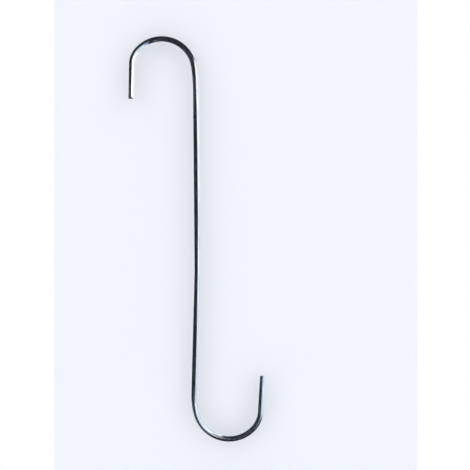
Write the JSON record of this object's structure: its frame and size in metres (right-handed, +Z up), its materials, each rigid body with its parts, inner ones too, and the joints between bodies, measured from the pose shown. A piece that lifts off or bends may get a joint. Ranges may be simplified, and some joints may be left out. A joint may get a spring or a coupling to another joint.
{
  "type": "s hook",
  "caption": "Long S-shaped hook bent from round bright steel wire, with a crook at the top that hangs on a rail and a slightly wider crook at the bottom for the load.",
  "frame": {"origin": "the rail seat: the highest point on the inside of the top crook, in the middle of the wire's thickness", "axes": "+Z up along the shank, +X across the crooks towards the side that the bottom crook opens to, +Y through the thickness of the wire, away from the viewer who sees the top crook's arm on the left"},
  "size_m": [0.1014, 0.004, 0.2999],
  "materials": {
    "bright_wire": "bright plated steel wire, smooth and mirror-like, with faint lines along the wire from drawing"
  },
  "bodies": {
    "root": {"hook": "bright_wire"}
  },
  "joints": []
}
